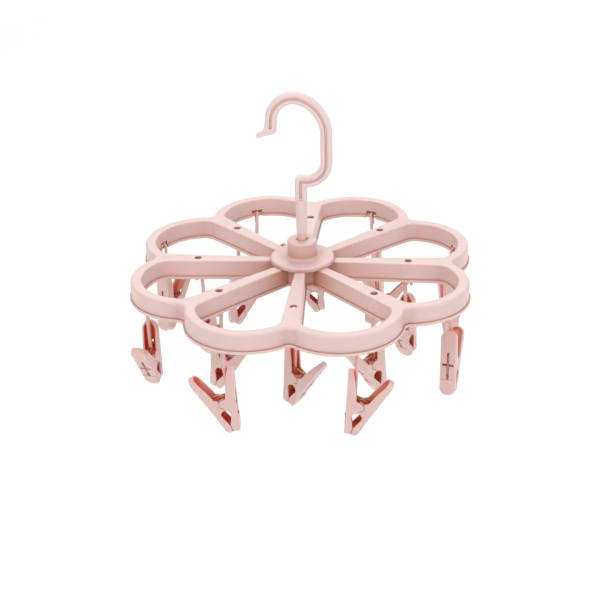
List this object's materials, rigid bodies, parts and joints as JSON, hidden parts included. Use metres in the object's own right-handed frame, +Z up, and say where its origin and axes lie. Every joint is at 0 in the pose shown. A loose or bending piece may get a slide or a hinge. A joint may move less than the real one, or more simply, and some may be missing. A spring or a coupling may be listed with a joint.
{
  "type": "clip drying hanger",
  "caption": "Round clip drying hanger: a swivelling plastic hook over a petal-shaped frame with spokes, and sprung clips that hang from its rim and spokes to hold small washing.",
  "frame": {"origin": "centre of the round seat in the hook's arch, where the rail lies", "axes": "+Z up along the swivel, +Y along the rail, +X to the side on which the hook's straight stands"},
  "size_m": [0.2375, 0.2374, 0.2045],
  "materials": {
    "pink_plastic": "pale pink moulded polypropylene, slightly translucent, soft gloss",
    "spring_steel": "bright drawn steel wire"
  },
  "bodies": {
    "hook": {"hook": "pink_plastic"},
    "frame": {"frame": "pink_plastic"},
    "rim_clip_1_hook_jaw": {"rim_clip_1_hook_jaw": "pink_plastic", "rim_clip_1_spring": "spring_steel"},
    "rim_clip_1_press_jaw": {"rim_clip_1_press_jaw": "pink_plastic"},
    "rim_clip_2_hook_jaw": {"rim_clip_2_hook_jaw": "pink_plastic", "rim_clip_2_spring": "spring_steel"},
    "rim_clip_2_press_jaw": {"rim_clip_2_press_jaw": "pink_plastic"},
    "rim_clip_3_hook_jaw": {"rim_clip_3_hook_jaw": "pink_plastic", "rim_clip_3_spring": "spring_steel"},
    "rim_clip_3_press_jaw": {"rim_clip_3_press_jaw": "pink_plastic"},
    "rim_clip_4_hook_jaw": {"rim_clip_4_hook_jaw": "pink_plastic", "rim_clip_4_spring": "spring_steel"},
    "rim_clip_4_press_jaw": {"rim_clip_4_press_jaw": "pink_plastic"},
    "rim_clip_5_hook_jaw": {"rim_clip_5_hook_jaw": "pink_plastic", "rim_clip_5_spring": "spring_steel"},
    "rim_clip_5_press_jaw": {"rim_clip_5_press_jaw": "pink_plastic"},
    "rim_clip_6_hook_jaw": {"rim_clip_6_hook_jaw": "pink_plastic", "rim_clip_6_spring": "spring_steel"},
    "rim_clip_6_press_jaw": {"rim_clip_6_press_jaw": "pink_plastic"},
    "rim_clip_7_hook_jaw": {"rim_clip_7_hook_jaw": "pink_plastic", "rim_clip_7_spring": "spring_steel"},
    "rim_clip_7_press_jaw": {"rim_clip_7_press_jaw": "pink_plastic"},
    "rim_clip_8_hook_jaw": {"rim_clip_8_hook_jaw": "pink_plastic", "rim_clip_8_spring": "spring_steel"},
    "rim_clip_8_press_jaw": {"rim_clip_8_press_jaw": "pink_plastic"},
    "spoke_clip_1_hook_jaw": {"spoke_clip_1_hook_jaw": "pink_plastic", "spoke_clip_1_spring": "spring_steel"},
    "spoke_clip_1_press_jaw": {"spoke_clip_1_press_jaw": "pink_plastic"},
    "spoke_clip_2_hook_jaw": {"spoke_clip_2_hook_jaw": "pink_plastic", "spoke_clip_2_spring": "spring_steel"},
    "spoke_clip_2_press_jaw": {"spoke_clip_2_press_jaw": "pink_plastic"},
    "spoke_clip_3_hook_jaw": {"spoke_clip_3_hook_jaw": "pink_plastic", "spoke_clip_3_spring": "spring_steel"},
    "spoke_clip_3_press_jaw": {"spoke_clip_3_press_jaw": "pink_plastic"},
    "spoke_clip_4_hook_jaw": {"spoke_clip_4_hook_jaw": "pink_plastic", "spoke_clip_4_spring": "spring_steel"},
    "spoke_clip_4_press_jaw": {"spoke_clip_4_press_jaw": "pink_plastic"},
    "spoke_clip_5_hook_jaw": {"spoke_clip_5_hook_jaw": "pink_plastic", "spoke_clip_5_spring": "spring_steel"},
    "spoke_clip_5_press_jaw": {"spoke_clip_5_press_jaw": "pink_plastic"},
    "spoke_clip_6_hook_jaw": {"spoke_clip_6_hook_jaw": "pink_plastic", "spoke_clip_6_spring": "spring_steel"},
    "spoke_clip_6_press_jaw": {"spoke_clip_6_press_jaw": "pink_plastic"},
    "spoke_clip_7_hook_jaw": {"spoke_clip_7_hook_jaw": "pink_plastic", "spoke_clip_7_spring": "spring_steel"},
    "spoke_clip_7_press_jaw": {"spoke_clip_7_press_jaw": "pink_plastic"},
    "spoke_clip_8_hook_jaw": {"spoke_clip_8_hook_jaw": "pink_plastic", "spoke_clip_8_spring": "spring_steel"},
    "spoke_clip_8_press_jaw": {"spoke_clip_8_press_jaw": "pink_plastic"}
  },
  "joints": [
    {"name": "swivel", "type": "hinge", "parent": "hook", "child": "frame", "pos_m": [0.00385, 0, -0.0888], "axis": [0, 0, 1], "continuous": true},
    {"name": "rim_clip_1_swing", "type": "hinge", "parent": "frame", "child": "rim_clip_1_hook_jaw", "pos_m": [0.11203, 0.04481, -0.1177], "axis": [-0.3827, 0.9239, 0], "range_deg": [-20, 20]},
    {"name": "rim_clip_1_squeeze", "type": "hinge", "parent": "rim_clip_1_hook_jaw", "child": "rim_clip_1_press_jaw", "pos_m": [0.10917, 0.04564, -0.16139], "axis": [0.9763, 0.2164, 0], "range_deg": [0, 30], "stiffness_Nm_per_rad": 0.15, "springref_deg": -20.05, "deforming": ["rim_clip_1_spring"]},
    {"name": "rim_clip_2_swing", "type": "hinge", "parent": "frame", "child": "rim_clip_2_hook_jaw", "pos_m": [0.04866, 0.10819, -0.1177], "axis": [-0.9239, 0.3827, 0], "range_deg": [-20, 20]},
    {"name": "rim_clip_2_squeeze", "type": "hinge", "parent": "rim_clip_2_hook_jaw", "child": "rim_clip_2_press_jaw", "pos_m": [0.04678, 0.10588, -0.16139], "axis": [0.1822, 0.9833, 0], "range_deg": [0, 30], "stiffness_Nm_per_rad": 0.15, "springref_deg": -20.05, "deforming": ["rim_clip_2_spring"]},
    {"name": "rim_clip_3_swing", "type": "hinge", "parent": "frame", "child": "rim_clip_3_hook_jaw", "pos_m": [-0.04097, 0.10819, -0.1177], "axis": [-0.9239, -0.3827, 0], "range_deg": [-20, 20]},
    {"name": "rim_clip_3_squeeze", "type": "hinge", "parent": "rim_clip_3_hook_jaw", "child": "rim_clip_3_press_jaw", "pos_m": [-0.03893, 0.10601, -0.16139], "axis": [0.2504, -0.9681, 0], "range_deg": [0, 30], "stiffness_Nm_per_rad": 0.15, "springref_deg": -20.05, "deforming": ["rim_clip_3_spring"]},
    {"name": "rim_clip_4_swing", "type": "hinge", "parent": "frame", "child": "rim_clip_4_hook_jaw", "pos_m": [-0.10434, 0.04481, -0.1177], "axis": [-0.3827, -0.9239, 0], "range_deg": [-20, 20]},
    {"name": "rim_clip_4_squeeze", "type": "hinge", "parent": "rim_clip_4_hook_jaw", "child": "rim_clip_4_press_jaw", "pos_m": [-0.10136, 0.04477, -0.16139], "axis": [0.8704, -0.4924, 0], "range_deg": [0, 30], "stiffness_Nm_per_rad": 0.15, "springref_deg": -20.05, "deforming": ["rim_clip_4_spring"]},
    {"name": "rim_clip_5_swing", "type": "hinge", "parent": "frame", "child": "rim_clip_5_hook_jaw", "pos_m": [-0.10434, -0.04481, -0.1177], "axis": [0.3827, -0.9239, 0], "range_deg": [-20, 20]},
    {"name": "rim_clip_5_squeeze", "type": "hinge", "parent": "rim_clip_5_hook_jaw", "child": "rim_clip_5_press_jaw", "pos_m": [-0.10207, -0.04673, -0.16139], "axis": [-0.9799, 0.1994, 0], "range_deg": [0, 30], "stiffness_Nm_per_rad": 0.15, "springref_deg": -20.05, "deforming": ["rim_clip_5_spring"]},
    {"name": "rim_clip_6_swing", "type": "hinge", "parent": "frame", "child": "rim_clip_6_hook_jaw", "pos_m": [-0.04097, -0.10819, -0.1177], "axis": [0.9239, -0.3827, 0], "range_deg": [-20, 20]},
    {"name": "rim_clip_6_squeeze", "type": "hinge", "parent": "rim_clip_6_hook_jaw", "child": "rim_clip_6_press_jaw", "pos_m": [-0.04237, -0.10556, -0.16139], "axis": [0.0087, 1, 0], "range_deg": [0, 30], "stiffness_Nm_per_rad": 0.15, "springref_deg": -20.05, "deforming": ["rim_clip_6_spring"]},
    {"name": "rim_clip_7_swing", "type": "hinge", "parent": "frame", "child": "rim_clip_7_hook_jaw", "pos_m": [0.04866, -0.10819, -0.1177], "axis": [0.9239, 0.3827, 0], "range_deg": [-20, 20]},
    {"name": "rim_clip_7_squeeze", "type": "hinge", "parent": "rim_clip_7_hook_jaw", "child": "rim_clip_7_press_jaw", "pos_m": [0.04997, -0.10551, -0.16139], "axis": [0.0436, -0.999, 0], "range_deg": [0, 30], "stiffness_Nm_per_rad": 0.15, "springref_deg": -20.05, "deforming": ["rim_clip_7_spring"]},
    {"name": "rim_clip_8_swing", "type": "hinge", "parent": "frame", "child": "rim_clip_8_hook_jaw", "pos_m": [0.11203, -0.04481, -0.1177], "axis": [0.3827, 0.9239, 0], "range_deg": [-20, 20]},
    {"name": "rim_clip_8_squeeze", "type": "hinge", "parent": "rim_clip_8_hook_jaw", "child": "rim_clip_8_press_jaw", "pos_m": [0.10979, -0.04285, -0.16139], "axis": [0.9763, -0.2164, 0], "range_deg": [0, 30], "stiffness_Nm_per_rad": 0.15, "springref_deg": -20.05, "deforming": ["rim_clip_8_spring"]},
    {"name": "spoke_clip_1_swing", "type": "hinge", "parent": "frame", "child": "spoke_clip_1_hook_jaw", "pos_m": [0.07885, 0, -0.1159], "axis": [0, 1, 0], "range_deg": [-20, 20]},
    {"name": "spoke_clip_1_squeeze", "type": "hinge", "parent": "spoke_clip_1_hook_jaw", "child": "spoke_clip_1_press_jaw", "pos_m": [0.07587, 0.00007, -0.15959], "axis": [-0.866, 0.5, 0], "range_deg": [0, 30], "stiffness_Nm_per_rad": 0.15, "springref_deg": -20.05, "deforming": ["spoke_clip_1_spring"]},
    {"name": "spoke_clip_2_swing", "type": "hinge", "parent": "frame", "child": "spoke_clip_2_hook_jaw", "pos_m": [0.05688, 0.05303, -0.1159], "axis": [-0.7071, 0.7071, 0], "range_deg": [-20, 20]},
    {"name": "spoke_clip_2_squeeze", "type": "hinge", "parent": "spoke_clip_2_hook_jaw", "child": "spoke_clip_2_press_jaw", "pos_m": [0.05758, 0.05014, -0.15959], "axis": [-0.2588, -0.9659, 0], "range_deg": [0, 30], "stiffness_Nm_per_rad": 0.15, "springref_deg": -20.05, "deforming": ["spoke_clip_2_spring"]},
    {"name": "spoke_clip_3_swing", "type": "hinge", "parent": "frame", "child": "spoke_clip_3_hook_jaw", "pos_m": [0.00385, 0.075, -0.1159], "axis": [-1, 0, 0], "range_deg": [-20, 20]},
    {"name": "spoke_clip_3_squeeze", "type": "hinge", "parent": "spoke_clip_3_hook_jaw", "child": "spoke_clip_3_press_jaw", "pos_m": [0.0027, 0.07225, -0.15959], "axis": [-0.1045, 0.9945, 0], "range_deg": [0, 30], "stiffness_Nm_per_rad": 0.15, "springref_deg": -20.05, "deforming": ["spoke_clip_3_spring"]},
    {"name": "spoke_clip_4_swing", "type": "hinge", "parent": "frame", "child": "spoke_clip_4_hook_jaw", "pos_m": [-0.04919, 0.05303, -0.1159], "axis": [-0.7071, -0.7071, 0], "range_deg": [-20, 20]},
    {"name": "spoke_clip_4_squeeze", "type": "hinge", "parent": "spoke_clip_4_hook_jaw", "child": "spoke_clip_4_press_jaw", "pos_m": [-0.04695, 0.05107, -0.15959], "axis": [0.342, -0.9397, 0], "range_deg": [0, 30], "stiffness_Nm_per_rad": 0.15, "springref_deg": -20.05, "deforming": ["spoke_clip_4_spring"]},
    {"name": "spoke_clip_5_swing", "type": "hinge", "parent": "frame", "child": "spoke_clip_5_hook_jaw", "pos_m": [-0.07115, 0, -0.1159], "axis": [0, -1, 0], "range_deg": [-20, 20]},
    {"name": "spoke_clip_5_squeeze", "type": "hinge", "parent": "spoke_clip_5_hook_jaw", "child": "spoke_clip_5_press_jaw", "pos_m": [-0.06979, -0.00265, -0.15959], "axis": [-0.829, 0.5592, 0], "range_deg": [0, 30], "stiffness_Nm_per_rad": 0.15, "springref_deg": -20.05, "deforming": ["spoke_clip_5_spring"]},
    {"name": "spoke_clip_6_swing", "type": "hinge", "parent": "frame", "child": "spoke_clip_6_hook_jaw", "pos_m": [-0.04919, -0.05303, -0.1159], "axis": [0.7071, -0.7071, 0], "range_deg": [-20, 20]},
    {"name": "spoke_clip_6_squeeze", "type": "hinge", "parent": "spoke_clip_6_hook_jaw", "child": "spoke_clip_6_press_jaw", "pos_m": [-0.04695, -0.05107, -0.15959], "axis": [-0.342, -0.9397, 0], "range_deg": [0, 30], "stiffness_Nm_per_rad": 0.15, "springref_deg": -20.05, "deforming": ["spoke_clip_6_spring"]},
    {"name": "spoke_clip_7_swing", "type": "hinge", "parent": "frame", "child": "spoke_clip_7_hook_jaw", "pos_m": [0.00385, -0.075, -0.1159], "axis": [1, 0, 0], "range_deg": [-20, 20]},
    {"name": "spoke_clip_7_squeeze", "type": "hinge", "parent": "spoke_clip_7_hook_jaw", "child": "spoke_clip_7_press_jaw", "pos_m": [0.00647, -0.07359, -0.15959], "axis": [-0.5446, -0.8387, 0], "range_deg": [0, 30], "stiffness_Nm_per_rad": 0.15, "springref_deg": -20.05, "deforming": ["spoke_clip_7_spring"]},
    {"name": "spoke_clip_8_swing", "type": "hinge", "parent": "frame", "child": "spoke_clip_8_hook_jaw", "pos_m": [0.05688, -0.05303, -0.1159], "axis": [0.7071, 0.7071, 0], "range_deg": [-20, 20]},
    {"name": "spoke_clip_8_squeeze", "type": "hinge", "parent": "spoke_clip_8_hook_jaw", "child": "spoke_clip_8_press_jaw", "pos_m": [0.0541, -0.05195, -0.15959], "axis": [-0.6428, 0.766, 0], "range_deg": [0, 30], "stiffness_Nm_per_rad": 0.15, "springref_deg": -20.05, "deforming": ["spoke_clip_8_spring"]}
  ]
}
